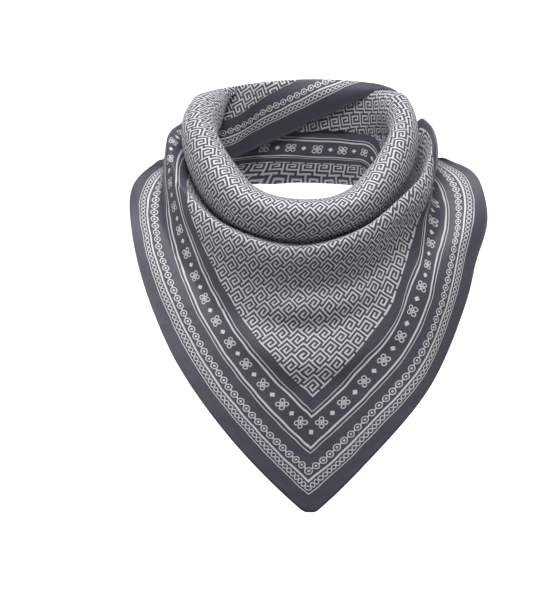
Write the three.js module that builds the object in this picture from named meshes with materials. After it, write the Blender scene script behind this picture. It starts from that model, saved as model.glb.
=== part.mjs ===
// A small printed silk square, folded corner to corner and worn round the neck with its point in front.
// The cloth is one closed wall. It is drawn as profiles that run from the folded edge to the hem, one after
// another round the neck. Lengths are in millimetres, angles in degrees, z is up, the front faces -y.
import * as THREE from "three";

// driving dimensions
const CLOTH_WALL = 1.5;
const LEFT_END = -246;            // station of the left end, round the neck from the front
const RIGHT_END = 230;            // station of the right end
const LEFT_BLEND = [-112, -142];  // stations between which the left side turns into the left end
const RIGHT_BLEND = [112, 140];   // the same on the right
const TIP_RADIUS = 10;            // roundness of the point in front
const CLOTH_COLOUR = 0x63646c;
const CLOTH_ROUGHNESS = 0.6;

// mesh of the solid
const SPANS = 44;                 // spans between profiles in each half, from the point in front to the end
const EVEN_SHARE = 0.55;          // 1 spaces the profiles evenly, less brings them closer at the point in front
const ROWS = [2, 2, 2, 2, 2, 2, 2, 2, 2, 2, 3, 3, 5]; // rows of faces between neighbouring knots of a profile
const LEAST_GAP = 0.001;          // keeps two knots on one spot apart

// The sides and the front: the roll round the neck, the valley under it, the second fold, the dent below it
// and the swell. crest = top of the roll, half = half its thickness, tall = its height.
const FRONT = {
  columns: ["station", "crestR", "crestZ", "half", "tall", "valleyR", "valleyZ", "ridgeR", "ridgeZ",
    "browR", "browZ", "dentR", "dentZ", "swellR", "swellZ"],
  rows: [
    [-112, 83, 56, 13, 37, 90, 14, 107, 31, 109, 19, 108, 2, 113, 1],
    [-90, 82, 47, 13.5, 40, 88, 3, 107.5, 24, 111, 10, 114, -7, 119, -9],
    [-70, 81, 36, 14, 44, 88, -13, 106.5, 0, 110.5, -9, 113.5, -27, 120.5, -38],
    [-50, 81.5, 19, 15, 41, 88, -29, 105, -20, 109, -28, 110.5, -49, 118, -71],
    [-30, 84, 0.5, 16, 32, 90, -36, 105, -34.5, 108.5, -43, 108, -72, 115.5, -97],
    [0, 86, -9, 16.5, 28, 91, -43.5, 105, -44, 107.8, -52, 104.5, -77, 111.8, -92],
    [30, 84.5, -3, 15.5, 27, 90.5, -36, 106, -30, 109.3, -40, 103, -65, 112.3, -83],
    [50, 83, 14.5, 13.5, 35, 91, -31, 106.5, -10.5, 110.5, -20, 104, -42, 114, -60],
    [70, 83, 32, 12, 41, 93, -22, 107.5, 5, 111.5, -5, 106, -29, 116, -44],
    [90, 84.5, 44, 11, 40, 94.5, -9, 109.5, 26.5, 113, 14, 108, -8, 118, -11],
    [112, 87, 56, 10, 36, 93.5, 6, 110, 35, 114, 23, 108, 7, 112, 3],
  ],
};
// The hem of the left half, from the left end to the point.
const LEFT_HEM = {
  columns: ["station", "azimuth", "radius", "z"],
  rows: [
    [-246, -245, 102, 40], [-241, -239.5, 99, 51], [-236, -234, 91, 58], [-228, -226, 84, 52.5],
    [-218, -214.5, 79.5, 44], [-200, -195, 77, 29.5], [-180, -172, 77, 14.5], [-160, -150, 79, 3.5],
    [-145, -131, 81, -2], [-135, -119, 96, -2], [-125, -108.5, 114, 2], [-110, -96, 122.5, 1],
    [-90, -83, 139, -13], [-70, -70, 146, -42], [-50, -51, 153.9, -97], [-35, -37.4, 159, -140],
    [-21, -21.7, 160.6, -188], [-9, -8.1, 162, -226], [0, 2.6, 165, -253.2],
  ],
};
// The hem of the right half, from the point to the right end.
const RIGHT_HEM = {
  columns: ["station", "azimuth", "radius", "z"],
  rows: [
    [0, 2.6, 165, -253.2], [10, 10.8, 161, -234], [20, 20, 158.5, -211], [38, 38, 157.5, -166.5],
    [50, 48.6, 152.5, -142], [60, 58.6, 150.5, -113], [70, 69.2, 152, -76], [82, 81, 152.8, -36],
    [94, 90, 146.5, -8], [106, 98.7, 129.5, 2], [114, 104.5, 116, 3], [120, 107.5, 103, -14],
    [125, 109, 92, -27], [130, 110.5, 84, -12], [136, 112.5, 82.5, 14], [143, 116.5, 83, 38],
    [151, 127, 84, 48], [162, 145, 84.3, 49], [180, 170, 84.5, 49], [200, 195, 86.5, 50],
    [216, 213, 92, 49], [230, 229, 95, 44],
  ],
};
// The left end lies inside at the back, passes over the top and hangs down outside to its folded edge.
const LEFT_BACK = {
  columns: ["station", "topR", "topZ", "edgeR", "edgeZ"],
  rows: [
    [-246, 102.3, 38, 102.6, 34], [-238, 98, 53, 101, 34], [-228, 92, 59, 99, 25], [-218, 88, 60, 97.5, 17],
    [-200, 86, 60, 95.5, 14], [-180, 85, 59.5, 93.5, 26], [-160, 84, 58.5, 90, 46], [-140, 84, 57.5, 83, 53],
  ],
};
// The right end: folded edge inside, over the crest, down outside, round the bottom fold, and up again through
// the puff and the turn to the hem.
const RIGHT_BACK = {
  columns: ["station", "crestR", "crestZ", "edgeR", "edgeZ", "outerR", "bottomZ", "puffR", "puffZ",
    "turnR", "turnZ"],
  rows: [
    [140, 86, 55, 81, 18.5, 91.5, -26.5, 77, -4, 83, 28], [165, 85, 54, 79, 18.5, 90.5, -27.5, 77, -3, 83, 30],
    [185, 86.5, 53, 81, 20, 90.5, -27.5, 78, -3, 83.5, 30], [200, 89, 52, 87, 49, 92, -28, 80, 0, 86.5, 30],
    [216, 95, 22, 95.5, 14, 96, -20, 89, 0, 92.5, 38], [230, 98, 40, 98.3, 36, 98, 30, 95, 34, 95.5, 39],
  ],
};
// Soft folds of the bib, pushed out from the axis or in towards it; sag lowers their middle.
const FOLDS = {
  columns: ["left", "leftZ", "right", "rightZ", "sag", "width", "height"],
  rows: [
    [-32, -88, 42, -78, 25, 9, -4.6], [-40, -84, 44, -96, 47, 10, 3],
  ],
};
const FOLD_FADE = 1.2;            // how fast a fold fades towards its ends
// Soft swells of the right side.
const SWELLS = {
  columns: ["azimuth", "z", "wide", "tall", "height"],
  rows: [[72, -28, 11, 20, 5.5], [62, -62, 10, 16, -4]],
};
// Places of the roll's knots: out from the crest in halves of its thickness, down in its heights.
const ROLL = [[-0.55, 0.95], [-1, 0.5], [-0.62, 0.07], [0.4, 0], [0.98, 0.17], [1.08, 0.55], [0.7, 1]];
const ROLL_TOP = 3;               // the knot on top of the roll, which stands TOP_RISE over the crest
const TOP_RISE = 1;
// Places of the bib's knots: part of the turn from the station to the hem's azimuth, and how much more of it
// at the back of the shoulders.
const DENT_TURN = 0.12;
const SWELL_TURN = 0.25;
const SWELL_TURN_MORE = 0.15;
const BIB_TURN = 0.5;
const BIB_TURN_MORE = 0.3;
const SWEEP_SIDE = [80, 100];     // stations between which the turn grows
// The bib's knot between swell and hem: part of the way outwards and down, in front, and more at the sides.
const BIB_OUT = 0.38;
const BIB_DOWN = 0.42;
const DROOP_OUT = 0.24;
const DROOP_UP = 0.12;
const DROOP_SIDE = [30, 78];      // stations between which the sides begin to droop
// The left end's two knots between its folded edge and its top: part of the edge's radius, added radius, part
// of the edge's height, added height.
const LEFT_HANG = [[0.65, 1, 0.6, 0], [0.5, 0.3, 0, -4]];
const LEFT_FALL_KNOTS = 10;       // knots from the left end's top down to its hem
const LEFT_FALL_POWER = 5;        // how soon it turns straight down
// The right end: how far its inside bulges in, and the knots over its crest, out and up from crest or outer wall.
const INNER_BULGE = 2.2;
const CREST_IN = [-2.5, -2];
const CREST_OUT = [0.8, 0.4];
const SHOULDER = [-1, -6];
// Its outer wall: out from its radius, part of the fall.
const OUTER_WALL = [[0.2, 0.3], [0.7, 0.55], [0.3, 0.8], [-1.5, 0.96]];
// Its way back up inside: parts of the turn to the hem's azimuth, how far it stands out at first, and how much
// of the way to the puff its second knot has risen.
const RETURN_TURNS = [0.25, 0.5, 0.7, 0.9];
const RETURN_OUT = 2;
const RETURN_RISE = 0.3;

function hermite(p, m, q, n, s) {
  return p * (1 + 2 * s) * (1 - s) ** 2 + m * s * (1 - s) ** 2 + q * s * s * (3 - 2 * s) - n * s * s * (1 - s);
}

function smooth(from, to, x) {
  const t = Math.min(Math.max((x - from) / (to - from), 0), 1);
  return t * t * (3 - 2 * t);
}

function named(table, row) {
  return Object.fromEntries(table.columns.map((name, c) => [name, row[c]]));
}

// Smooth value of every column of a table at one station, held constant beyond its ends.
function at(table, station) {
  const rows = table.rows;
  const last = rows.length - 1;
  const x = Math.min(Math.max(station, rows[0][0]), rows[last][0]);
  let i = 0;
  while (i < last - 1 && x >= rows[i + 1][0]) i += 1;
  const slope = (k, c) => (rows[k + 1][c] - rows[k][c]) / (rows[k + 1][0] - rows[k][0]);
  const tangent = (k, c) => {
    if (k === 0) return slope(0, c);
    if (k === last) return slope(last - 1, c);
    const before = rows[k][0] - rows[k - 1][0];
    const after = rows[k + 1][0] - rows[k][0];
    return (slope(k - 1, c) * after + slope(k, c) * before) / (before + after);
  };
  const h = rows[i + 1][0] - rows[i][0];
  const s = (x - rows[i][0]) / h;
  return named(table, rows[i].map((value, c) => (
    hermite(value, tangent(i, c) * h, rows[i + 1][c], tangent(i + 1, c) * h, s))));
}

function mix(a, b, w) {
  return a.map((knot, k) => knot.map((value, c) => value * (1 - w) + b[k][c] * w));
}

// The knots of one profile as [azimuth, radius, z], from the folded edge to the hem.
function frontKnots(station, hem) {
  const f = at(FRONT, station);
  const knots = ROLL.map(([out, down]) => [station, f.crestR + out * f.half, f.crestZ - down * f.tall]);
  knots[ROLL_TOP][2] = f.crestZ + TOP_RISE;
  knots.push([station, f.valleyR, f.valleyZ], [station, f.ridgeR, f.ridgeZ], [station, f.browR, f.browZ]);
  const turn = hem.azimuth - station;
  const sweep = smooth(...SWEEP_SIDE, Math.abs(station));
  const droop = smooth(...DROOP_SIDE, Math.abs(station));
  knots.push([station + turn * DENT_TURN, f.dentR, f.dentZ]);
  knots.push([station + turn * (SWELL_TURN + SWELL_TURN_MORE * sweep), f.swellR, f.swellZ]);
  knots.push([
    station + turn * (BIB_TURN + BIB_TURN_MORE * sweep),
    f.swellR + (hem.radius - f.swellR) * (BIB_OUT + DROOP_OUT * droop),
    f.swellZ + (hem.z - f.swellZ) * (BIB_DOWN - DROOP_UP * droop),
  ]);
  knots.push([hem.azimuth, hem.radius, hem.z]);
  return knots;
}

function leftKnots(station, hem) {
  const f = at(LEFT_BACK, station);
  const knots = [[station, f.edgeR, f.edgeZ]];
  LEFT_HANG.forEach(([edgeR, out, edgeZ, up]) => {
    knots.push([station, f.topR + (f.edgeR - f.topR) * edgeR + out, f.topZ + (f.edgeZ - f.topZ) * edgeZ + up]);
  });
  knots.push([station, f.topR, f.topZ]);
  for (let k = 1; k <= LEFT_FALL_KNOTS; k += 1) {
    const down = k / LEFT_FALL_KNOTS;
    const inward = 1 - (1 - down) ** LEFT_FALL_POWER;
    knots.push([station + (hem.azimuth - station) * down, f.topR + (hem.radius - f.topR) * inward,
      f.topZ + (hem.z - f.topZ) * down]);
  }
  return knots;
}

function rightKnots(station, hem) {
  const f = at(RIGHT_BACK, station);
  const fall = f.crestZ - f.bottomZ;
  const turn = hem.azimuth - station;
  const knots = [
    [station, f.edgeR, f.edgeZ],
    [station, (f.edgeR + f.crestR) / 2 - INNER_BULGE, (f.edgeZ + f.crestZ) / 2],
    [station, f.crestR + CREST_IN[0], f.crestZ + CREST_IN[1]],
    [station, f.crestR + CREST_OUT[0], f.crestZ + CREST_OUT[1]],
    [station, f.outerR + SHOULDER[0], f.crestZ + SHOULDER[1]],
  ];
  OUTER_WALL.forEach(([out, down]) => knots.push([station, f.outerR + out, f.crestZ - down * fall]));
  const inside = [
    [(f.outerR + f.puffR) / 2 + RETURN_OUT, f.bottomZ],
    [f.puffR + RETURN_OUT, f.bottomZ + (f.puffZ - f.bottomZ) * RETURN_RISE],
    [f.puffR, f.puffZ],
    [f.turnR, f.turnZ],
  ];
  inside.forEach(([radius, z], k) => knots.push([station + turn * RETURN_TURNS[k], radius, z]));
  knots.push([hem.azimuth, hem.radius, hem.z]);
  return knots;
}

function profileKnots(station) {
  const hem = at(station < 0 ? LEFT_HEM : RIGHT_HEM, station);
  let knots = frontKnots(station, hem);
  knots = mix(knots, leftKnots(station, hem), smooth(...LEFT_BLEND, station));
  knots = mix(knots, rightKnots(station, hem), smooth(...RIGHT_BLEND, station));
  return knots.map(([azimuth, radius, z]) => {
    const angle = THREE.MathUtils.degToRad(azimuth);
    return new THREE.Vector3(radius * Math.sin(angle), -radius * Math.cos(angle), z);
  });
}

// Moves a point out from the axis, or in towards it, by the soft folds and swells.
function fold(point) {
  const azimuth = THREE.MathUtils.radToDeg(Math.atan2(point.x, -point.y));
  let push = 0;
  FOLDS.rows.forEach((row) => {
    const f = named(FOLDS, row);
    const along = Math.min(Math.max((azimuth - f.left) / (f.right - f.left), 0), 1);
    const middle = f.leftZ + (f.rightZ - f.leftZ) * along - 4 * f.sag * along * (1 - along);
    const across = Math.exp(-(((point.z - middle) / f.width) ** 2));
    push += f.height * Math.max(Math.sin(Math.PI * along), 0) ** FOLD_FADE * across;
  });
  SWELLS.rows.forEach((row) => {
    const f = named(SWELLS, row);
    push += f.height * Math.exp(-(((azimuth - f.azimuth) / f.wide) ** 2) - ((point.z - f.z) / f.tall) ** 2);
  });
  const out = 1 + push / Math.hypot(point.x, point.y);
  return new THREE.Vector3(point.x * out, point.y * out, point.z);
}

// Rounded curve through the knots, cut into the rows of the table.
function profile(station) {
  const knots = profileKnots(station);
  const last = knots.length - 1;
  const line = [knots[0].clone().multiplyScalar(2).sub(knots[1]), ...knots,
    knots[last].clone().multiplyScalar(2).sub(knots[last - 1])];
  const gap = (i) => Math.sqrt(line[i].distanceTo(line[i + 1])) + LEAST_GAP;
  const points = [];
  const axes = ["x", "y", "z"];
  for (let k = 0; k < last; k += 1) {
    const [a, b, c, d] = [line[k], line[k + 1], line[k + 2], line[k + 3]];
    const [ga, gb, gc] = [gap(k), gap(k + 1), gap(k + 2)];
    for (let row = 0; row < ROWS[k]; row += 1) {
      const s = row / ROWS[k];
      const value = axes.map((q) => {
        const m = ((b[q] - a[q]) / ga - (c[q] - a[q]) / (ga + gb) + (c[q] - b[q]) / gb) * gb;
        const n = ((c[q] - b[q]) / gb - (d[q] - b[q]) / (gb + gc) + (d[q] - c[q]) / gc) * gb;
        return hermite(b[q], m, c[q], n, s);
      });
      points.push(new THREE.Vector3(...value));
    }
  }
  points.push(knots[last].clone());
  return points.map(fold);
}

// Point at a distance along a line of points.
function pointAlong(line, distance) {
  let left = distance;
  for (let k = 0; k < line.length - 1; k += 1) {
    const step = line[k].distanceTo(line[k + 1]);
    if (left <= step || k === line.length - 2) return line[k].clone().lerp(line[k + 1], left / step);
    left -= step;
  }
  return line[0].clone();
}

// Trims the profiles at the point of the bib to a round tip.
function roundTip(grid) {
  const rows = ROWS[ROWS.length - 1] + 1;
  const tip = grid[SPANS][grid[SPANS].length - 1].x;
  grid.forEach((points) => {
    const line = points.slice(-rows);
    const apart = Math.abs(line[rows - 1].x - tip);
    if (apart >= TIP_RADIUS / Math.SQRT2 || line[rows - 1].z > line[0].z) return;
    const cut = TIP_RADIUS * Math.SQRT2 - Math.sqrt(TIP_RADIUS ** 2 - apart ** 2) - apart;
    const down = [0];
    for (let k = 1; k < rows; k += 1) down.push(down[k - 1] + line[k].distanceTo(line[k - 1]));
    const kept = (down[rows - 1] - cut) / down[rows - 1];
    for (let k = 1; k < rows; k += 1) points[points.length - rows + k] = pointAlong(line, down[k] * kept);
  });
  return grid;
}

// Closed wall of even thickness about a grid of points.
function wall(grid, thickness) {
  const rows = grid.length;
  const columns = grid[0].length;
  const normal = (i, j) => {
    const along = grid[Math.min(i + 1, rows - 1)][j].clone().sub(grid[Math.max(i - 1, 0)][j]);
    const across = grid[i][Math.min(j + 1, columns - 1)].clone().sub(grid[i][Math.max(j - 1, 0)]);
    return along.cross(across).normalize();
  };
  const positions = [];
  for (const side of [0.5, -0.5]) {
    grid.forEach((line, i) => line.forEach((p, j) => {
      const q = p.clone().addScaledVector(normal(i, j), side * thickness);
      positions.push(q.x, q.y, q.z);
    }));
  }
  const index = [];
  const half = rows * columns;
  const quad = (a, b, c, d) => index.push(a, b, c, a, c, d);
  for (let i = 0; i < rows - 1; i += 1) {
    for (let j = 0; j < columns - 1; j += 1) {
      const a = i * columns + j;
      const b = a + columns;
      quad(a, b, b + 1, a + 1);
      quad(half + a, half + a + 1, half + b + 1, half + b);
    }
  }
  const rim = [];
  for (let i = 0; i < rows - 1; i += 1) rim.push([(i + 1) * columns, i * columns]);
  for (let i = 0; i < rows - 1; i += 1) rim.push([(i + 1) * columns - 1, (i + 2) * columns - 1]);
  for (let j = 0; j < columns - 1; j += 1) rim.push([j, j + 1]);
  for (let j = 0; j < columns - 1; j += 1) rim.push([half - columns + j + 1, half - columns + j]);
  rim.forEach(([a, b]) => quad(a, b, half + b, half + a));
  const geometry = new THREE.BufferGeometry();
  geometry.setAttribute("position", new THREE.Float32BufferAttribute(positions, 3));
  geometry.setIndex(index);
  geometry.computeVertexNormals();
  return geometry;
}

const grid = [];
for (let i = -SPANS; i <= SPANS; i += 1) {
  const t = Math.abs(i) / SPANS;
  const share = EVEN_SHARE * t + (1 - EVEN_SHARE) * t * t;
  grid.push(profile((i < 0 ? LEFT_END : RIGHT_END) * share));
}
const cloth = new THREE.Mesh(
  wall(roundTip(grid), CLOTH_WALL),
  new THREE.MeshStandardMaterial({ color: CLOTH_COLOUR, roughness: CLOTH_ROUGHNESS, metalness: 0 }),
);
cloth.name = "scarf_cloth";

const scarf = new THREE.Group();
scarf.name = "scarf";
scarf.add(cloth);
export default scarf;
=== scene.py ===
import math

import bpy
import numpy as np
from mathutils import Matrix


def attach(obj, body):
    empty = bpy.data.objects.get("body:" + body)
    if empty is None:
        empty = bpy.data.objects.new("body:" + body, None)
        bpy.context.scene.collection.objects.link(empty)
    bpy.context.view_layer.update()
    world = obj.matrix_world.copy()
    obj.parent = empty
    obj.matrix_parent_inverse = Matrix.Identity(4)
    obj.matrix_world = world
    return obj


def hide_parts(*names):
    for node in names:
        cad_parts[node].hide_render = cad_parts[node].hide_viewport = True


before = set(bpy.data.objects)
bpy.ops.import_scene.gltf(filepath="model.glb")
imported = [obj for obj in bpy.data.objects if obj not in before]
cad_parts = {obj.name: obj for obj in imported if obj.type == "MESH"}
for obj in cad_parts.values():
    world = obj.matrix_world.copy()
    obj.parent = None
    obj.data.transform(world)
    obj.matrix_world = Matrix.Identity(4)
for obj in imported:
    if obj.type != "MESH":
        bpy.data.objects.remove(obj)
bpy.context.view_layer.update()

# Worn silk neck scarf. Lengths in this script are in millimetres and become metres in the mesh.
MM = 0.001

# Driving dimensions, the same as in the part's source
LEFT_END = -246
RIGHT_END = 230
LEFT_BLEND = (-112, -142)
RIGHT_BLEND = (112, 140)
# How evenly the stations are spread: 1 is even, less is closer together at the point of the bib
EVEN_SHARE = 0.55
# Side of the flat square of silk
SQUARE = 650.0
CLOTH_THICK = 0.8
HEM_THICK = 1.2
HEM_WIDE = 2.2
# Part of the hem's width that has its full thickness
HEM_FULL = 0.5
# Layout of the cloth's second map, OFBake: the length that it spans, and its empty edge
BAKE_SPAN = 665.0
BAKE_EDGE = 6.0
TIP_RADIUS = 10.0

# Mesh of the visible cloth: columns in each half, and rows between neighbouring knots of a profile
HALF_COLUMNS = 170
ROWS = (8, 8, 6, 6, 8, 8, 7, 9, 9, 8, 8, 20, 34)
# The coarser mesh that is flattened for the print
COARSE_HALF = 45
COARSE_ROWS = (2, 2, 2, 2, 2, 2, 2, 2, 2, 2, 2, 5, 8)
FLATTEN_ROUNDS = 60
# First guess of the flattening: how far it leans along the folded edge for each degree, and its limit
LEAN = 1.43
LEAN_LIMIT = 0.9
# Least and greatest weight of a side of a triangle
WEIGHTS = (0.02, 20)
# How strongly the hem is held on its lines, against the weights
HELD = 1e7
# Keep divisions away from zero: between knots, and elsewhere
LEAST_GAP = 0.001
TINY = 1e-9

# The sides and the front: roll, valley, second fold, the dent below it and the swell.
# station, crest r, crest z, half thickness, height, valley r, z, ridge r, z, brow r, z, dent r, z, swell r, z
FRONT = (
    (-112, 83, 56, 13, 37, 90, 14, 107, 31, 109, 19, 108, 2, 113, 1),
    (-90, 82, 47, 13.5, 40, 88, 3, 107.5, 24, 111, 10, 114, -7, 119, -9),
    (-70, 81, 36, 14, 44, 88, -13, 106.5, 0, 110.5, -9, 113.5, -27, 120.5, -38),
    (-50, 81.5, 19, 15, 41, 88, -29, 105, -20, 109, -28, 110.5, -49, 118, -71),
    (-30, 84, 0.5, 16, 32, 90, -36, 105, -34.5, 108.5, -43, 108, -72, 115.5, -97),
    (0, 86, -9, 16.5, 28, 91, -43.5, 105, -44, 107.8, -52, 104.5, -77, 111.8, -92),
    (30, 84.5, -3, 15.5, 27, 90.5, -36, 106, -30, 109.3, -40, 103, -65, 112.3, -83),
    (50, 83, 14.5, 13.5, 35, 91, -31, 106.5, -10.5, 110.5, -20, 104, -42, 114, -60),
    (70, 83, 32, 12, 41, 93, -22, 107.5, 5, 111.5, -5, 106, -29, 116, -44),
    (90, 84.5, 44, 11, 40, 94.5, -9, 109.5, 26.5, 113, 14, 108, -8, 118, -11),
    (112, 87, 56, 10, 36, 93.5, 6, 110, 35, 114, 23, 108, 7, 112, 3),
)
# station, azimuth, radius, z
LEFT_HEM = (
    (-246, -245, 102, 40), (-241, -239.5, 99, 51), (-236, -234, 91, 58), (-228, -226, 84, 52.5),
    (-218, -214.5, 79.5, 44), (-200, -195, 77, 29.5), (-180, -172, 77, 14.5), (-160, -150, 79, 3.5),
    (-145, -131, 81, -2), (-135, -119, 96, -2), (-125, -108.5, 114, 2), (-110, -96, 122.5, 1),
    (-90, -83, 139, -13), (-70, -70, 146, -42), (-50, -51, 153.9, -97), (-35, -37.4, 159, -140),
    (-21, -21.7, 160.6, -188), (-9, -8.1, 162, -226), (0, 2.6, 165, -253.2),
)
RIGHT_HEM = (
    (0, 2.6, 165, -253.2), (10, 10.8, 161, -234), (20, 20, 158.5, -211), (38, 38, 157.5, -166.5),
    (50, 48.6, 152.5, -142), (60, 58.6, 150.5, -113), (70, 69.2, 152, -76), (82, 81, 152.8, -36),
    (94, 90, 146.5, -8), (106, 98.7, 129.5, 2), (114, 104.5, 116, 3), (120, 107.5, 103, -14),
    (125, 109, 92, -27), (130, 110.5, 84, -12), (136, 112.5, 82.5, 14), (143, 116.5, 83, 38),
    (151, 127, 84, 48), (162, 145, 84.3, 49), (180, 170, 84.5, 49), (200, 195, 86.5, 50),
    (216, 213, 92, 49), (230, 229, 95, 44),
)
# station, top r, top z, folded edge r, z
LEFT_BACK = (
    (-246, 102.3, 38, 102.6, 34), (-238, 98, 53, 101, 34), (-228, 92, 59, 99, 25), (-218, 88, 60, 97.5, 17),
    (-200, 86, 60, 95.5, 14), (-180, 85, 59.5, 93.5, 26), (-160, 84, 58.5, 90, 46), (-140, 84, 57.5, 83, 53),
)
# station, crest r, z, folded edge r, z, outer r, bottom z, puff r, z, turn r, z
RIGHT_BACK = (
    (140, 86, 55, 81, 18.5, 91.5, -26.5, 77, -4, 83, 28),
    (165, 85, 54, 79, 18.5, 90.5, -27.5, 77, -3, 83, 30),
    (185, 86.5, 53, 81, 20, 90.5, -27.5, 78, -3, 83.5, 30),
    (200, 89, 52, 87, 49, 92, -28, 80, 0, 86.5, 30),
    (216, 95, 22, 95.5, 14, 96, -20, 89, 0, 92.5, 38),
    (230, 98, 40, 98.3, 36, 98, 30, 95, 34, 95.5, 39),
)
# Soft folds of the bib: left end azimuth, z, right end azimuth, z, sag in the middle, width, height outwards
FOLDS = (
    (-32, -88, 42, -78, 25, 9, -4.6), (-40, -84, 44, -96, 47, 10, 3),
)
# Soft swells of the right side: azimuth, z, half width in degrees, half height, height outwards
SWELLS = ((72, -28, 11, 20, 5.5), (62, -62, 10, 16, -4))
# How fast a fold fades towards its ends
FOLD_FADE = 1.2
# Knots of the roll: out from the crest in halves of its thickness, down in its heights
ROLL = ((-0.55, 0.95), (-1, 0.5), (-0.62, 0.07), (0.4, 0), (0.98, 0.17), (1.08, 0.55), (0.7, 1))
ROLL_TOP = 3
TOP_RISE = 1
# Knots of the bib: part of the turn from the station to the hem's azimuth, and how much more of it at the
# back of the shoulders
DENT_TURN = 0.12
SWELL_TURN, SWELL_TURN_MORE = 0.25, 0.15
BIB_TURN, BIB_TURN_MORE = 0.5, 0.3
SWEEP_SIDE = (80, 100)
# The bib's knot between swell and hem: part of the way outwards and down, in front, and more at the sides
BIB_OUT, DROOP_OUT = 0.38, 0.24
BIB_DOWN, DROOP_UP = 0.42, 0.12
DROOP_SIDE = (30, 78)
# The left end's two knots between its folded edge and its top: part of the edge's radius, added radius,
# part of the edge's height, added height
LEFT_HANG = ((0.65, 1, 0.6, 0), (0.5, 0.3, 0, -4))
LEFT_FALL_KNOTS = 10
LEFT_FALL_POWER = 5
# The right end: how far its inside bulges in, and the knots over its crest, out and up from the crest or the
# outer wall
INNER_BULGE = 2.2
CREST_IN = (-2.5, -2)
CREST_OUT = (0.8, 0.4)
SHOULDER = (-1, -6)
# Its outer wall: out from its radius, part of the fall
OUTER_WALL = ((0.2, 0.3), (0.7, 0.55), (0.3, 0.8), (-1.5, 0.96))
# Its way back up inside: parts of the turn to the hem's azimuth, how far it stands out at first, and how much
# of the way to the puff its second knot has risen
RETURN_TURNS = (0.25, 0.5, 0.7, 0.9)
RETURN_OUT = 2
RETURN_RISE = 0.3
# Drift of the print towards the hem, where small folds take the cloth in: station, hem strip, outer pair of
# lines, inner pair of lines
LEFT_DRIFT = ((-128, 0, 0, 0), (-108, 4, 0, 0), (-85, 4.5, 0, 0), (-65, 3, 0, 0), (-40, 0, 0, 0))
RIGHT_DRIFT = (
    (24, 0, 0, 0), (38, 2.5, 2.5, 4), (47, 3, 2.5, 0), (60, 1.5, 0, 4.5), (75, 0, 4, -5.5), (88, 4, 6, -2),
    (104, 6.5, 3, 0), (120, 0, 0, 0),
)
# Widths of the three drifts across the print
DRIFT_SPREADS = (16, 8, 10)
# Print of the right end at the back: the stations and the knots between which it takes over from the
# flattened print, and then distances along the cloth from its hem, in the mesh and in the print
BACK_PRINT_START = (116, 134)
BACK_PRINT_KNOTS = (3, 8)
BACK_PRINT = (
    (0, 0), (30, 25), (39.5, 35.5), (47, 45.2), (54.5, 54.9), (59.5, 66), (80, 83), (125, 106), (171, 138),
)


def hermite(p, m, q, n, s):
    """Cubic from p to q, with the slopes m and n, at the part s of the way."""
    from_start = p * (1 + 2 * s) * (1 - s) ** 2 + m * s * (1 - s) ** 2
    return from_start + q * s * s * (3 - 2 * s) - n * s * s * (1 - s)


def at(table, station):
    """Smooth values of a table's columns at an array of stations, held constant beyond its ends."""
    rows = np.array(table, float)
    x, y = rows[:, 0], rows[:, 1:]
    step = np.diff(x)[:, None]
    slope = np.diff(y, axis=0) / step
    tangent = np.empty_like(y)
    tangent[1:-1] = (slope[:-1] * step[1:] + slope[1:] * step[:-1]) / (step[1:] + step[:-1])
    tangent[0], tangent[-1] = slope[0], slope[-1]
    u = np.clip(station, x[0], x[-1])
    i = np.clip(np.searchsorted(x, u, side="right") - 1, 0, len(x) - 2)
    h = step[i]
    s = (u - x[i])[:, None] / h
    return hermite(y[i], tangent[i] * h, y[i + 1], tangent[i + 1] * h, s)


def smooth(start, end, x):
    t = np.clip((x - start) / (end - start), 0, 1)
    return t * t * (3 - 2 * t)


def front_knots(u, hem):
    (crest_r, crest_z, half, tall, valley_r, valley_z, ridge_r, ridge_z,
     brow_r, brow_z, dent_r, dent_z, swell_r, swell_z) = at(FRONT, u).T
    azimuth, radius, z = hem.T
    turn = azimuth - u
    sweep = smooth(*SWEEP_SIDE, np.abs(u))
    droop = smooth(*DROOP_SIDE, np.abs(u))
    knots = [(u, crest_r + out * half, crest_z - down * tall) for out, down in ROLL]
    knots[ROLL_TOP] = (u, knots[ROLL_TOP][1], crest_z + TOP_RISE)
    knots += [(u, valley_r, valley_z), (u, ridge_r, ridge_z), (u, brow_r, brow_z)]
    knots.append((u + turn * DENT_TURN, dent_r, dent_z))
    knots.append((u + turn * (SWELL_TURN + SWELL_TURN_MORE * sweep), swell_r, swell_z))
    knots.append((
        u + turn * (BIB_TURN + BIB_TURN_MORE * sweep),
        swell_r + (radius - swell_r) * (BIB_OUT + DROOP_OUT * droop),
        swell_z + (z - swell_z) * (BIB_DOWN - DROOP_UP * droop),
    ))
    knots.append((azimuth, radius, z))
    return np.stack([np.stack(knot, 1) for knot in knots], 1)


def left_knots(u, hem):
    top_r, top_z, edge_r, edge_z = at(LEFT_BACK, u).T
    azimuth, radius, z = hem.T
    knots = [(u, edge_r, edge_z)]
    for share_r, out, share_z, up in LEFT_HANG:
        knots.append((u, top_r + (edge_r - top_r) * share_r + out, top_z + (edge_z - top_z) * share_z + up))
    knots.append((u, top_r, top_z))
    for k in range(1, LEFT_FALL_KNOTS + 1):
        down = k / LEFT_FALL_KNOTS
        inward = 1 - (1 - down) ** LEFT_FALL_POWER
        fall_r = top_r + (radius - top_r) * inward
        knots.append((u + (azimuth - u) * down, fall_r, top_z + (z - top_z) * down))
    return np.stack([np.stack(knot, 1) for knot in knots], 1)


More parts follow.
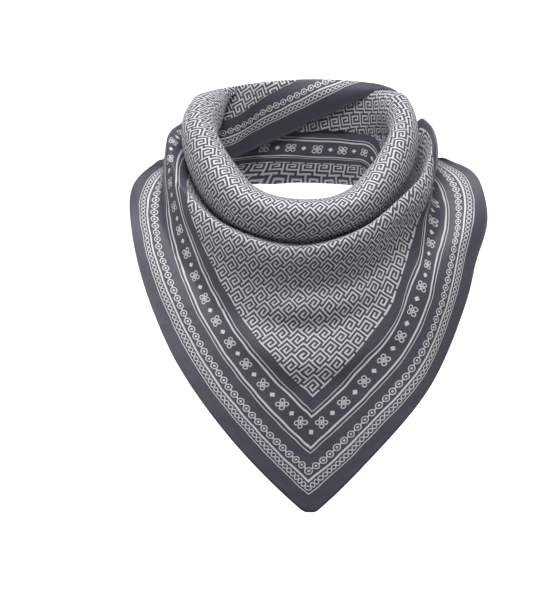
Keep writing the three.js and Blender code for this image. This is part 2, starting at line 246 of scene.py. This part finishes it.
def right_knots(u, hem):
    crest_r, crest_z, edge_r, edge_z, outer_r, bottom_z, puff_r, puff_z, turn_r, turn_z = at(RIGHT_BACK, u).T
    azimuth, radius, z = hem.T
    fall = crest_z - bottom_z
    turn = azimuth - u
    knots = [
        (u, edge_r, edge_z),
        (u, (edge_r + crest_r) / 2 - INNER_BULGE, (edge_z + crest_z) / 2),
        (u, crest_r + CREST_IN[0], crest_z + CREST_IN[1]),
        (u, crest_r + CREST_OUT[0], crest_z + CREST_OUT[1]),
        (u, outer_r + SHOULDER[0], crest_z + SHOULDER[1]),
    ]
    knots += [(u, outer_r + out, crest_z - down * fall) for out, down in OUTER_WALL]
    inside = (
        ((outer_r + puff_r) / 2 + RETURN_OUT, bottom_z),
        (puff_r + RETURN_OUT, bottom_z + (puff_z - bottom_z) * RETURN_RISE),
        (puff_r, puff_z),
        (turn_r, turn_z),
    )
    knots += [(u + turn * share, *place) for share, place in zip(RETURN_TURNS, inside)]
    knots.append((azimuth, radius, z))
    return np.stack([np.stack(knot, 1) for knot in knots], 1)


def profile_knots(u):
    """Knots of the profiles at the stations u, from the folded edge to the hem, as x, y, z."""
    hem = np.where((u < 0)[:, None], at(LEFT_HEM, u), at(RIGHT_HEM, u))
    knots = front_knots(u, hem)
    left = smooth(*LEFT_BLEND, u)[:, None, None]
    knots = knots * (1 - left) + left_knots(u, hem) * left
    right = smooth(*RIGHT_BLEND, u)[:, None, None]
    knots = knots * (1 - right) + right_knots(u, hem) * right
    angle = np.radians(knots[:, :, 0])
    radius = knots[:, :, 1]
    return np.stack([radius * np.sin(angle), -radius * np.cos(angle), knots[:, :, 2]], 2)


def fold(points):
    """Soft folds of the bib, pushed out from the axis or in towards it."""
    x, y, z = points[..., 0], points[..., 1], points[..., 2]
    azimuth = np.degrees(np.arctan2(x, -y))
    push = np.zeros_like(x)
    for left, left_z, right, right_z, sag, width, height in FOLDS:
        along = np.clip((azimuth - left) / (right - left), 0, 1)
        middle = left_z + (right_z - left_z) * along - 4 * sag * along * (1 - along)
        push += height * np.sin(math.pi * along) ** FOLD_FADE * np.exp(-((z - middle) / width) ** 2)
    for middle, middle_z, wide, tall, height in SWELLS:
        push += height * np.exp(-((azimuth - middle) / wide) ** 2 - ((z - middle_z) / tall) ** 2)
    out = 1 + push / np.hypot(x, y)
    return np.stack([x * out, y * out, z], -1)


def profiles(u, rows):
    """Rounded curves through the knots, cut into rows of the mesh."""
    knots = profile_knots(u)
    line = np.concatenate([2 * knots[:, :1] - knots[:, 1:2], knots, 2 * knots[:, -1:] - knots[:, -2:-1]], 1)
    gap = np.sqrt(np.linalg.norm(np.diff(line, axis=1), axis=2))[:, :, None] + LEAST_GAP
    points = []
    for k, count in enumerate(rows):
        a, b, c, d = (line[:, k + n] for n in range(4))
        ga, gb, gc = (gap[:, k + n] for n in range(3))
        m = ((b - a) / ga - (c - a) / (ga + gb) + (c - b) / gb) * gb
        n = ((c - b) / gb - (d - b) / (gb + gc) + (d - c) / gc) * gb
        points += [hermite(b, m, c, n, row / count) for row in range(count)]
    points.append(knots[:, -1])
    return fold(np.stack(points, 1))


def stations(half_columns):
    """Stations from the left end to the right end, closer together at the point of the bib."""
    share = np.linspace(0, 1, half_columns + 1)
    share = EVEN_SHARE * share + (1 - EVEN_SHARE) * share ** 2
    return np.concatenate([LEFT_END * share[::-1], RIGHT_END * share[1:]])


def cell_starts(columns, rows):
    """Index of the first point of each cell of a grid."""
    i, j = np.meshgrid(np.arange(columns - 1), np.arange(rows - 1), indexing="ij")
    return (i * rows + j).ravel()


def grid_triangles(columns, rows):
    a = cell_starts(columns, rows)
    return np.concatenate([np.stack([a, a + rows, a + rows + 1], 1), np.stack([a, a + rows + 1, a + 1], 1)])


def flatten(grid):
    """Distances of the grid's points from the two hems on the flat cloth, in mm.

    Each triangle keeps its shape as well as it can, while the hem stays on its two straight lines.
    """
    columns, rows, _ = grid.shape
    points = grid.reshape(-1, 3)
    faces = grid_triangles(columns, rows)
    middle = columns // 2
    hem = grid[:, -1]
    along = np.concatenate([[0], np.linalg.norm(np.diff(hem, axis=0), axis=1).cumsum()])
    along -= along[middle]
    down = np.linalg.norm(np.diff(grid, axis=1), axis=2)[:, ::-1].cumsum(1)[:, ::-1]
    down = np.concatenate([down, np.zeros((columns, 1))], 1)
    tall = SQUARE / math.sqrt(2)
    shift = np.clip(LEAN * stations(middle), -LEAN_LIMIT * tall, LEAN_LIMIT * tall)
    start = np.stack([np.maximum(along, 0), np.maximum(-along, 0)], 1)
    aim = np.stack([tall + shift, tall - shift], 1) / math.sqrt(2) - start
    aim /= np.linalg.norm(aim, axis=1)[:, None]
    flat = (start[:, None] + aim[:, None] * down[..., None]).reshape(-1, 2)
    a, b, c = (points[faces[:, k]] for k in range(3))
    length = np.linalg.norm(b - a, axis=1) + TINY
    unit = (b - a) / length[:, None]
    x = ((c - a) * unit).sum(1)
    y = np.linalg.norm(c - a - x[:, None] * unit, axis=1) + TINY
    rest = np.zeros((len(faces), 3, 2))
    rest[:, 1, 0] = length
    rest[:, 2] = np.stack([x, -y], 1)
    weight = np.zeros((len(faces), 3))
    diagonal = np.zeros((columns, rows, rows))
    beside = np.zeros((columns - 1, rows, rows))
    for k in range(3):
        i, j = (k + 1) % 3, (k + 2) % 3
        p, q = rest[:, i] - rest[:, k], rest[:, j] - rest[:, k]
        cross = np.abs(p[:, 0] * q[:, 1] - p[:, 1] * q[:, 0]) + TINY
        weight[:, k] = np.clip((p * q).sum(1) / cross, *WEIGHTS) / 2
        for m, n, sign in ((i, i, 1), (j, j, 1), (i, j, -1), (j, i, -1)):
            column, row = divmod(faces[:, m], rows)
            next_column, next_row = divmod(faces[:, n], rows)
            same = column == next_column
            after = column + 1 == next_column
            np.add.at(diagonal, (column[same], row[same], next_row[same]), sign * weight[same, k])
            np.add.at(beside, (column[after], row[after], next_row[after]), sign * weight[after, k])
    solvers = [held_solver(diagonal, beside, held) for held in (slice(0, middle + 1), slice(middle, columns))]
    for _ in range(FLATTEN_ROUNDS):
        now = flat[faces]
        spin = np.zeros((len(faces), 2, 2))
        for k in range(3):
            i, j = (k + 1) % 3, (k + 2) % 3
            edge = (rest[:, i] - rest[:, j]) * weight[:, k, None]
            spin += np.einsum("na,nb->nab", edge, now[:, i] - now[:, j])
        cosine = spin[:, 0, 0] + spin[:, 1, 1]
        sine = spin[:, 0, 1] - spin[:, 1, 0]
        size = np.hypot(cosine, sine) + TINY
        cosine, sine = cosine / size, sine / size
        pull = np.zeros((columns * rows, 2))
        for k in range(3):
            i, j = (k + 1) % 3, (k + 2) % 3
            x, y = ((rest[:, i] - rest[:, j]) * weight[:, k, None]).T
            turned = np.stack([cosine * x - sine * y, sine * x + cosine * y], 1)
            np.add.at(pull, faces[:, i], turned)
            np.add.at(pull, faces[:, j], -turned)
        pull = pull.reshape(columns, rows, 2)
        flat = np.stack([solvers[axis](pull[..., axis]) for axis in (0, 1)], -1).reshape(-1, 2)
    return flat.reshape(columns, rows, 2)


def held_solver(diagonal, beside, held):
    """Solver for the grid's linear equations with the hem of the columns in held kept at 0.

    The equations tie each column only to its neighbours, so they are solved column by column.
    """
    blocks = diagonal.copy()
    blocks[held, -1, -1] += HELD
    inverse = [np.linalg.inv(blocks[0])]
    for k, side in enumerate(beside):
        inverse.append(np.linalg.inv(blocks[k + 1] - side.T @ inverse[k] @ side))

    def solve(right):
        passed = [right[0]]
        for k, side in enumerate(beside):
            passed.append(right[k + 1] - side.T @ (inverse[k] @ passed[k]))
        out = [inverse[-1] @ passed[-1]]
        for k in range(len(beside) - 1, -1, -1):
            out.append(inverse[k] @ (passed[k] - beside[k] @ out[-1]))
        return np.stack(out[::-1])

    return solve


def refine(values, steps, axis):
    """Smooth values at fractional steps along one axis of a grid."""
    values = np.moveaxis(values, axis, 0)
    last = len(values) - 1
    i = np.clip(np.floor(steps).astype(int), 0, last - 1)
    s = (steps - i).reshape(-1, *[1] * (values.ndim - 1))
    pick = [values[np.clip(i + n, 0, last)] for n in (-1, 0, 1, 2)]
    out = hermite(pick[1], (pick[2] - pick[0]) / 2, pick[2], (pick[3] - pick[1]) / 2, s)
    return np.moveaxis(out, 0, axis)


def cloth_grids():
    """Fine grid of points and their distances from the two hems on the flat cloth."""
    flat = flatten(profiles(stations(COARSE_HALF), COARSE_ROWS))
    points = profiles(stations(HALF_COLUMNS), ROWS)
    row_steps = []
    for k, count in enumerate(ROWS):
        first = sum(COARSE_ROWS[:k])
        row_steps += [first + COARSE_ROWS[k] * row / count for row in range(count)]
    row_steps.append(sum(COARSE_ROWS))
    flat = refine(flat, np.array(row_steps, float), 1)
    # the two halves on their own, because the hem has a corner between them
    column_steps = np.linspace(0, COARSE_HALF, HALF_COLUMNS + 1)
    left = refine(flat[:COARSE_HALF + 1], column_steps, 0)
    right = refine(flat[COARSE_HALF:], column_steps, 0)
    flat = np.concatenate([left, right[1:]])
    set_ends(points, flat)
    return round_tip(points, flat)


def set_ends(points, flat):
    """Print drawn in where small folds take in the cloth, and set even on the two ends at the back."""
    station = stations(HALF_COLUMNS)[:, None]
    row = np.arange(points.shape[1])[None]
    wide_strip = smooth(*WIDER_SIDE, station) * smooth(0, WIDER_REACH, flat[..., 0])
    flat[..., 0] -= WIDER_STRIP * wide_strip
    arc = np.linalg.norm(np.diff(points, axis=1), axis=2)[:, ::-1].cumsum(1)[:, ::-1]
    arc = np.concatenate([arc, np.zeros((len(arc), 1))], 1)
    middles = [np.mean(lines) for lines in (LINES, MOTIF_LINES[:2], MOTIF_LINES[2:])]
    for hem, table, side in ((0, LEFT_DRIFT, station < 0), (1, RIGHT_DRIFT, station > 0)):
        drift = at(table, station[:, 0]) * side
        for k, (middle, spread) in enumerate(zip(middles, DRIFT_SPREADS)):
            flat[..., hem] += drift[:, k:k + 1] * np.exp(-((flat[..., hem] - middle) / spread) ** 2)
    even = at(BACK_PRINT, arc.ravel())[:, 0].reshape(arc.shape)
    first, last = (sum(ROWS[:knot]) for knot in BACK_PRINT_KNOTS)
    share = smooth(*BACK_PRINT_START, station) * smooth(first, last, row)
    flat[..., 1] += (even - flat[..., 1]) * share


def round_tip(points, flat):
    """Trim the columns at the point of the bib to a round tip."""
    last = ROWS[-1] + 1
    apart = np.abs(points[:, -1, 0] - points[HALF_COLUMNS, -1, 0])
    for column in np.flatnonzero(apart < TIP_RADIUS / math.sqrt(2)):
        cut = TIP_RADIUS * math.sqrt(2) - math.sqrt(TIP_RADIUS ** 2 - apart[column] ** 2) - apart[column]
        line = points[column, -last:].copy()
        down = np.concatenate([[0], np.linalg.norm(np.diff(line, axis=0), axis=1).cumsum()])
        kept = down * (down[-1] - cut) / down[-1]
        for values in (points[column], flat[column]):
            for axis in range(values.shape[1]):
                values[-last:, axis] = np.interp(kept, down, values[-last:, axis].copy())
    return points, flat


def grid_normals(points):
    along = np.gradient(points, axis=0)
    across = np.gradient(points, axis=1)
    normal = np.cross(along, across)
    return normal / (np.linalg.norm(normal, axis=2)[..., None] + TINY)


def build_cloth():
    points, flat = cloth_grids()
    columns, rows, _ = points.shape
    normal = grid_normals(points)
    margin = np.maximum(np.minimum(flat[..., 0], flat[..., 1]), 0)
    thick = CLOTH_THICK + (HEM_THICK - CLOTH_THICK) * (1 - smooth(HEM_WIDE * HEM_FULL, HEM_WIDE, margin))
    offset = normal * thick[..., None] / 2
    sides = np.concatenate([(points + offset).reshape(-1, 3), (points - offset).reshape(-1, 3)])
    half = columns * rows
    a = cell_starts(columns, rows)
    front = np.stack([a, a + rows, a + rows + 1, a + 1], 1)
    back = half + front[:, ::-1]
    ring = np.concatenate([
        np.arange(columns) * rows,
        (columns - 1) * rows + np.arange(1, rows),
        np.arange(columns - 2, -1, -1) * rows + rows - 1,
        np.arange(rows - 2, 0, -1),
    ])
    following = np.roll(ring, -1)
    rim = np.stack([following, ring, half + ring, half + following], 1)
    faces = np.concatenate([front, back, rim])
    mesh = bpy.data.meshes.new("scarf_silk")
    mesh.from_pydata((sides * MM).tolist(), [], faces.tolist())
    mesh.validate()
    grain = mesh.attributes.new("grain", "FLOAT_VECTOR", "POINT")
    both = np.concatenate([flat.reshape(-1, 2)] * 2)
    grain.data.foreach_set("vector", np.concatenate([both, np.zeros((len(both), 1))], 1).ravel())
    piece = bpy.data.objects.new("scarf_silk", mesh)
    bpy.context.collection.objects.link(piece)
    rim_start = len(front) + len(back)
    mesh.polygons.foreach_set("use_smooth", [k < rim_start for k in range(len(faces))])
    return piece, both, half


def add_bake_map(mesh, both, half):
    """Second map of the cloth, OFBake: one face of the cloth in each half of the square."""
    uv = (both + BAKE_EDGE) / BAKE_SPAN
    uv[half:] = 1 - uv[half:]
    loops = np.empty(len(mesh.loops), int)
    mesh.loops.foreach_get("vertex_index", loops)
    layer = mesh.uv_layers.new(name="OFBake")
    layer.data.foreach_set("uv", uv[loops].ravel())


class Graph:
    """Short way to write the maths of a pattern as shader nodes."""

    def __init__(self, tree):
        self.tree = tree

    def link(self, value, socket):
        if isinstance(value, (int, float)):
            socket.default_value = value
        else:
            self.tree.links.new(value, socket)

    def math(self, operation, *values, clamp=False):
        node = self.tree.nodes.new("ShaderNodeMath")
        node.operation = operation
        node.use_clamp = clamp
        for value, socket in zip(values, node.inputs):
            self.link(value, socket)
        return node.outputs[0]

    def add(self, a, b):
        return self.math("ADD", a, b)

    def sub(self, a, b):
        return self.math("SUBTRACT", a, b)

    def mul(self, a, b):
        return self.math("MULTIPLY", a, b)

    def low(self, *values):
        out = values[0]
        for value in values[1:]:
            out = self.math("MINIMUM", out, value)
        return out

    def high(self, *values):
        out = values[0]
        for value in values[1:]:
            out = self.math("MAXIMUM", out, value)
        return out

    def absolute(self, a):
        return self.math("ABSOLUTE", a)

    def repeat(self, a, period):
        """Distance from the nearest whole period, from -period / 2 to period / 2."""
        return self.math("WRAP", a, period / 2, -period / 2)

    def span(self, a, low, high):
        """Signed distance from the band between low and high."""
        return self.sub(self.absolute(self.sub(a, (low + high) / 2)), (high - low) / 2)

    def box(self, x, y, left, right, bottom, top):
        return self.high(self.span(x, left, right), self.span(y, bottom, top))

    def ink(self, distance, soft):
        """1 inside a shape, 0 outside, with a soft edge."""
        node = self.tree.nodes.new("ShaderNodeMapRange")
        node.interpolation_type = "SMOOTHSTEP"
        self.link(distance, node.inputs["Value"])
        node.inputs["From Min"].default_value = soft
        node.inputs["From Max"].default_value = -soft
        return node.outputs["Result"]


# Print, in mm from the hem: from and to for a line, middle and pitch for a chain or band
LINES = ((11.5, 12.1), (17.9, 19.3))
MOTIF_LINES = ((33.6, 34.2), (36.1, 37.5), (52.9, 54.3), (56.3, 56.9))
SMALL_CHAIN = (15.0, 3.9)
BIG_CHAIN = (23.8, 6.6)
MOTIF_BAND = (45.2, 20.8)
MOTIF_END = 398.0
FIELD_START = 64.5
FIELD_START_AT_END = 35.5
# The plain strip is wider at the left end: by how much, between which stations it grows, and how far from
# the hem
WIDER_STRIP = 4.5
WIDER_SIDE = (-140, -165)
WIDER_REACH = 14
# The key: its unit, its period in units, half the width of a stroke in units, and where it starts in its cell
KEY = 1.5
KEY_PERIOD = 8
KEY_STROKE = 0.42
KEY_SHIFT = 0.5
# left, right, bottom, top of each stroke's middle line, in units
KEY_STROKES = (
    (0, 0, 0, 8), (0, 6, 6, 6), (6, 6, 2, 6), (2, 6, 2, 2),
    (2, 2, 2, 4), (2, 4, 4, 4), (0, 4, 0, 0), (6, 9, 0, 0),
)
# Rings: radius, half the width of the line
SMALL_RING = (1.55, 0.33)
BIG_RING = (2.35, 0.36)
LEAF_RING = (1.5, 0.38)
LEAF_PLACE = 2.0
# Half length and half width of the bar between big rings
RING_BAR = (1.0, 0.45)
RING_DOT = 0.85
FLORET_DOT = 0.75
LOZENGE = 2.2
# The line across the end of the motif band, and the gap from there to the field
CLOSING_LINE = 1.4
CLOSING_GAP = 5
INK_SOFTNESS = 0.16
# Small waver of the print on the rumpled silk: its reach and its length, in mm
WAVER = 2.4
WAVER_LENGTH = 20.0
WAVER_DETAIL = 1.0
# Small rumples of the silk: their height and length, in mm
RUMPLE = 1.2
RUMPLE_LENGTH = 16.0
RUMPLE_DETAIL = 2.0
# The dark ground, slightly mottled, and the white of the print
GROUND_DARK = (0.047, 0.0485, 0.068, 1)
GROUND_LIGHT = (0.0585, 0.06, 0.0835, 1)
GROUND_SCALE = 0.03
GROUND_DETAIL = 3.0
INK = (0.57, 0.58, 0.59, 1)
# How the silk shines, on the shader's sockets
SHINE = (("Roughness", 0.58), ("Specular IOR Level", 0.38), ("Sheen Weight", 0.14), ("Sheen Roughness", 0.4))


def key_distance(g, a, b):
    """A stepped key: square spirals joined from row to row, every other row moved by half a period."""
    period = KEY * KEY_PERIOD
    y = g.math("WRAP", g.sub(b, FIELD_START), period, 0.0)
    row = g.math("FLOOR", g.math("DIVIDE", g.sub(b, FIELD_START), period))
    odd = g.mul(g.math("WRAP", row, 2.0, 0.0), period / 2)
    x = g.math("WRAP", g.add(g.sub(a, FIELD_START), odd), period, 0.0)
    half = KEY * KEY_STROKE
    shift = KEY * KEY_SHIFT
    parts = []
    for left, right, bottom, top in KEY_STROKES:
        parts.append(g.box(x, y, left * KEY - half + shift, right * KEY + half + shift,
                           bottom * KEY - half + shift, top * KEY + half + shift))
    return g.low(*parts)


def round_distance(g, x, y):
    return g.math("SQRT", g.add(g.mul(x, x), g.mul(y, y)))


def outlined(g, distance, radius, half_width):
    return g.sub(g.absolute(g.sub(distance, radius)), half_width)


def chain_shapes(g, margin, along):
    # small chain: a row of rings
    middle, pitch = SMALL_CHAIN
    x = g.repeat(g.sub(along, middle), pitch)
    y = g.sub(margin, middle)
    shapes = [outlined(g, round_distance(g, x, y), *SMALL_RING)]
    # big chain: rings joined by short bars, with a dot in each
    middle, pitch = BIG_CHAIN
    x = g.repeat(g.sub(along, middle), pitch)
    y = g.sub(margin, middle)
    ring = round_distance(g, x, y)
    shapes.append(outlined(g, ring, *BIG_RING))
    shapes.append(g.sub(ring, RING_DOT))
    beyond = g.sub(g.absolute(x), pitch / 2)
    shapes.append(g.high(g.sub(g.absolute(beyond), RING_BAR[0]), g.sub(g.absolute(y), RING_BAR[1])))
    return shapes


def motif_shapes(g, margin, along):
    """A lozenge, then a small four-leaved floret, between two pairs of lines."""
    middle, pitch = MOTIF_BAND
    shapes = [g.span(margin, low, high) for low, high in MOTIF_LINES]
    x = g.repeat(g.sub(along, middle), pitch)
    y = g.sub(margin, middle)
    shapes.append(g.sub(g.add(g.absolute(x), g.absolute(y)), LOZENGE))
    x = g.repeat(g.sub(along, middle + pitch / 2), pitch)
    leaf = round_distance(g, g.sub(g.absolute(x), LEAF_PLACE), g.sub(g.absolute(y), LEAF_PLACE))
    shapes.append(outlined(g, leaf, *LEAF_RING))
    shapes.append(g.sub(round_distance(g, x, y), FLORET_DOT))
    return shapes


def print_mask(g, a, b):
    """Where the cloth is printed in white. At the left end the field runs on in place of the motif band."""
    margin = g.low(a, b)
    along = g.high(a, b)
    lines = g.low(*[g.span(margin, low, high) for low, high in LINES])
    chains = g.low(*chain_shapes(g, margin, along))
    band_width = (MOTIF_LINES[0][0], MOTIF_LINES[-1][1])
    closing = g.high(g.span(b, MOTIF_END - CLOSING_LINE, MOTIF_END), g.span(margin, *band_width))
    motifs = g.high(g.low(*motif_shapes(g, margin, along)), g.sub(b, MOTIF_END))
    at_end = g.high(g.sub(FIELD_START_AT_END, a), g.sub(MOTIF_END + CLOSING_GAP, b))
    field = g.high(key_distance(g, a, b), g.low(g.sub(FIELD_START, margin), at_end))
    return g.ink(g.low(lines, chains, closing, motifs, field), INK_SOFTNESS)


def add_noise(tree, grain, scale, detail):
    noise = tree.nodes.new("ShaderNodeTexNoise")
    tree.links.new(grain.outputs["Vector"], noise.inputs["Vector"])
    noise.inputs["Scale"].default_value = scale
    noise.inputs["Detail"].default_value = detail
    return noise


def add_mix(tree, factor):
    mix = tree.nodes.new("ShaderNodeMix")
    mix.data_type = "RGBA"
    tree.links.new(factor, mix.inputs["Factor"])
    return mix


def silk_material():
    material = bpy.data.materials.new("printed_silk")
    material.use_nodes = True
    tree = material.node_tree
    g = Graph(tree)
    shader = tree.nodes["Principled BSDF"]
    grain = tree.nodes.new("ShaderNodeAttribute")
    grain.attribute_name = "grain"
    split = tree.nodes.new("ShaderNodeSeparateXYZ")
    tree.links.new(grain.outputs["Vector"], split.inputs[0])
    waver = add_noise(tree, grain, 1 / WAVER_LENGTH, WAVER_DETAIL)
    drift = tree.nodes.new("ShaderNodeSeparateXYZ")
    tree.links.new(waver.outputs["Color"], drift.inputs[0])
    a, b = (g.add(split.outputs[axis], g.mul(g.sub(drift.outputs[axis], 0.5), WAVER)) for axis in ("X", "Y"))
    ink = print_mask(g, a, b)
    ground = add_mix(tree, add_noise(tree, grain, GROUND_SCALE, GROUND_DETAIL).outputs["Fac"])
    ground.inputs["A"].default_value = GROUND_DARK
    ground.inputs["B"].default_value = GROUND_LIGHT
    colour = add_mix(tree, ink)
    tree.links.new(ground.outputs["Result"], colour.inputs["A"])
    colour.inputs["B"].default_value = INK
    tree.links.new(colour.outputs["Result"], shader.inputs["Base Color"])
    rumple = add_noise(tree, grain, 1 / RUMPLE_LENGTH, RUMPLE_DETAIL)
    bump = tree.nodes.new("ShaderNodeBump")
    bump.inputs["Strength"].default_value = 1.0
    bump.inputs["Distance"].default_value = RUMPLE * MM
    tree.links.new(rumple.outputs["Fac"], bump.inputs["Height"])
    tree.links.new(bump.outputs["Normal"], shader.inputs["Normal"])
    for name, value in SHINE:
        shader.inputs[name].default_value = value
    return material


def plain_material(name, colour, roughness):
    material = bpy.data.materials.new(name)
    material.use_nodes = True
    shader = material.node_tree.nodes["Principled BSDF"]
    shader.inputs["Base Color"].default_value = (*colour, 1)
    shader.inputs["Roughness"].default_value = roughness
    return material


# Camera: the photograph's frame is 542 x 600, at 0.82 mm for a pixel where the origin is
PHOTO_WIDTH, PHOTO_HEIGHT = 542, 600
PIXEL = 0.82
ORIGIN_X, ORIGIN_Y = 300, 169.7
ELEVATION = math.radians(12)
DISTANCE = 6000.0
SENSOR = 36
CLIP_END = 50
# Floor, in metres
FLOOR_LEVEL = -1.5
FLOOR_HALF = 30.0
FLOOR_COLOUR = (0.9, 0.9, 0.9)
FLOOR_ROUGHNESS = 0.9
# Light panels: name, place, aim, lengths of the sides, power
PANELS = (
    ("key", (-0.05, -0.3, 1.6), (0, 0, -0.06), (1.1, 1.1), 46),
    ("side_right", (1.5, -0.3, 0.05), (0.1, 0, 0), (0.9, 0.4), 3),
    ("side_left", (-1.5, -0.3, 0.05), (-0.1, 0, 0), (0.9, 0.4), 5),
)
# Panels that look down on the floor all round, well away from the scarf: name, angle, power
FAR_PANELS = (("behind", 90, 420), ("left", 180, 160), ("front", 270, 90), ("right", 0, 120))
FAR_DISTANCE = 8
FAR_HEIGHT = 1.0
FAR_SIZE = (5, 10)
# The aim is a trace further out than the panel, which gives the panel its direction
FAR_AIM = 1.001
WORLD_STRENGTH = 0.06


def add_camera():
    right = (PHOTO_WIDTH / 2 - ORIGIN_X) * PIXEL
    up = (ORIGIN_Y - PHOTO_HEIGHT / 2) * PIXEL
    look = (0, math.cos(ELEVATION), -math.sin(ELEVATION))
    rise = (0, math.sin(ELEVATION), math.cos(ELEVATION))
    camera = bpy.data.cameras.new("camera")
    camera.sensor_fit = "VERTICAL"
    camera.sensor_height = SENSOR
    camera.lens = SENSOR * DISTANCE / (PHOTO_HEIGHT * PIXEL)
    camera.clip_end = CLIP_END
    piece = bpy.data.objects.new("camera", camera)
    place = [right * (k == 0) + up * rise[k] - DISTANCE * look[k] for k in range(3)]
    piece.location = [value * MM for value in place]
    piece.rotation_euler = (math.pi / 2 - ELEVATION, 0, 0)
    bpy.context.collection.objects.link(piece)
    bpy.context.scene.camera = piece


def add_panel(name, place, aim, size, power):
    """Soft light panel that looks from its place to its aim."""
    light = bpy.data.lights.new(name, "AREA")
    light.shape = "RECTANGLE"
    light.size, light.size_y = size
    light.energy = power
    piece = bpy.data.objects.new(name, light)
    piece.location = place
    direction = [aim[k] - place[k] for k in range(3)]
    tilt = math.atan2(math.hypot(direction[0], direction[1]), -direction[2])
    turn = math.atan2(direction[1], direction[0]) - math.pi / 2
    piece.rotation_euler = (tilt, 0, turn)
    piece.visible_camera = False
    bpy.context.collection.objects.link(piece)


def add_floor():
    mesh = bpy.data.meshes.new("floor")
    corners = [(x * FLOOR_HALF, y * FLOOR_HALF, FLOOR_LEVEL) for x, y in ((-1, -1), (1, -1), (1, 1), (-1, 1))]
    mesh.from_pydata(corners, [], [(0, 1, 2, 3)])
    floor = bpy.data.objects.new("floor", mesh)
    bpy.context.collection.objects.link(floor)
    mesh.materials.append(plain_material("pale_floor", FLOOR_COLOUR, FLOOR_ROUGHNESS))


def light_studio():
    world = bpy.data.worlds.new("studio")
    bpy.context.scene.world = world
    world.use_nodes = True
    background = world.node_tree.nodes["Background"]
    background.inputs["Color"].default_value = (1, 1, 1, 1)
    background.inputs["Strength"].default_value = WORLD_STRENGTH
    for panel in PANELS:
        add_panel(*panel)
    for name, degrees, power in FAR_PANELS:
        angle = math.radians(degrees)
        x, y = FAR_DISTANCE * math.cos(angle), FAR_DISTANCE * math.sin(angle)
        add_panel(name, (x, y, FAR_HEIGHT), (x * FAR_AIM, y * FAR_AIM, FLOOR_LEVEL), FAR_SIZE, power)
    view = bpy.context.scene.view_settings
    view.view_transform = "Standard"
    view.look = "None"


add_camera()
silk, both_faces, half_count = build_cloth()
add_bake_map(silk.data, both_faces, half_count)
silk.data.materials.append(silk_material())
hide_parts("scarf_cloth")
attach(silk, "root")
add_floor()
light_studio()
